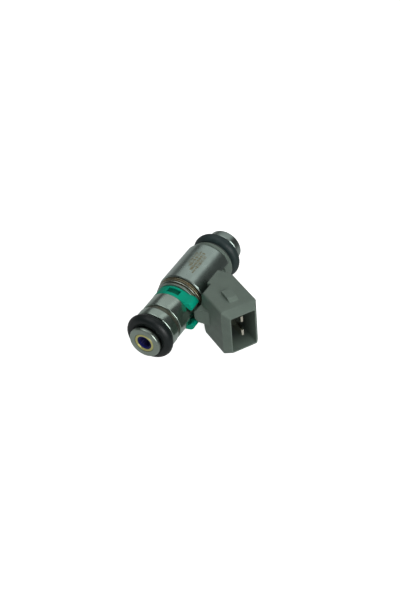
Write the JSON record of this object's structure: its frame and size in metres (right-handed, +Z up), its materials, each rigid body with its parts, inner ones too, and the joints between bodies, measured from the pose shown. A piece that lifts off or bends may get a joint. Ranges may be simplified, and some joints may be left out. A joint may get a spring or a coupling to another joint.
{
  "type": "fuel injector",
  "caption": "Short solenoid fuel injector lying on its side: sealed steel body, inlet filter, retaining clip, angled two-blade socket and a spring-loaded ball valve.",
  "frame": {"origin": "centre of the nozzle tip's end face, on the injector's axis", "axes": "+Y along the injector's axis in the spray direction, +X to the side that carries the electrical socket, +Z up as the injector lies, parallel to the socket's tall side"},
  "size_m": [0.0334, 0.0492, 0.0167],
  "materials": {
    "turned_steel": "fine turned, dull",
    "sleeve_steel": "turned and polished, slightly blued",
    "shell_steel": "drawn and brushed along its length, with an etched mark field",
    "ring_steel": "bright edges",
    "tarnished_steel": "brown tarnish and light rust",
    "spring_steel": "bright wire",
    "valve_steel": "ground and lapped",
    "filter_mesh": "woven nylon mesh, dark blue",
    "collar_brass": "turned, slightly dull",
    "copper_winding": "enamelled copper wire",
    "terminal_tin": "tin plated",
    "seal_rubber": "smooth moulded rubber with a parting line",
    "inner_rubber": "smooth moulded rubber",
    "clip_plastic": "moulded green nylon, semi matte",
    "housing_plastic": "glass filled grey nylon, fine grain",
    "backup_plastic": "dark grey, fine grain",
    "cap_steel": "turned, dull grey",
    "bobbin_plastic": "black nylon",
    "filter_plastic": "dark blue nylon"
  },
  "bodies": {
    "injector": {"inlet_tube": "turned_steel", "filter_collar": "collar_brass", "filter_frame": "filter_plastic", "filter_screen": "filter_mesh", "adjusting_sleeve": "turned_steel", "return_spring": "spring_steel", "inlet_o_ring": "seal_rubber", "seal_spacer": "sleeve_steel", "upper_sleeve": "sleeve_steel", "retaining_clip": "clip_plastic", "lock_ring": "ring_steel", "crimp_ring": "tarnished_steel", "body_shell": "shell_steel", "flux_washer": "turned_steel", "nonmagnetic_sleeve": "turned_steel", "core_seal": "inner_rubber", "coil_bobbin": "bobbin_plastic", "coil_winding": "copper_winding", "yoke_seal": "inner_rubber", "connector_housing": "housing_plastic", "nozzle_body": "turned_steel", "backup_ring": "backup_plastic", "nozzle_o_ring": "seal_rubber", "nozzle_cap": "cap_steel", "valve_seat": "valve_steel", "orifice_plate": "valve_steel", "terminal_upper": "terminal_tin", "terminal_lower": "terminal_tin"},
    "valve": {"armature": "turned_steel", "valve_needle": "valve_steel", "valve_ball": "valve_steel"}
  },
  "joints": [
    {"name": "valve_lift", "type": "slide", "parent": "injector", "child": "valve", "axis": [0, -1, 0], "range_m": [0, 0.0001], "stiffness_N_per_m": 1500, "springref_m": -0.0016, "deforming": ["return_spring"]}
  ]
}
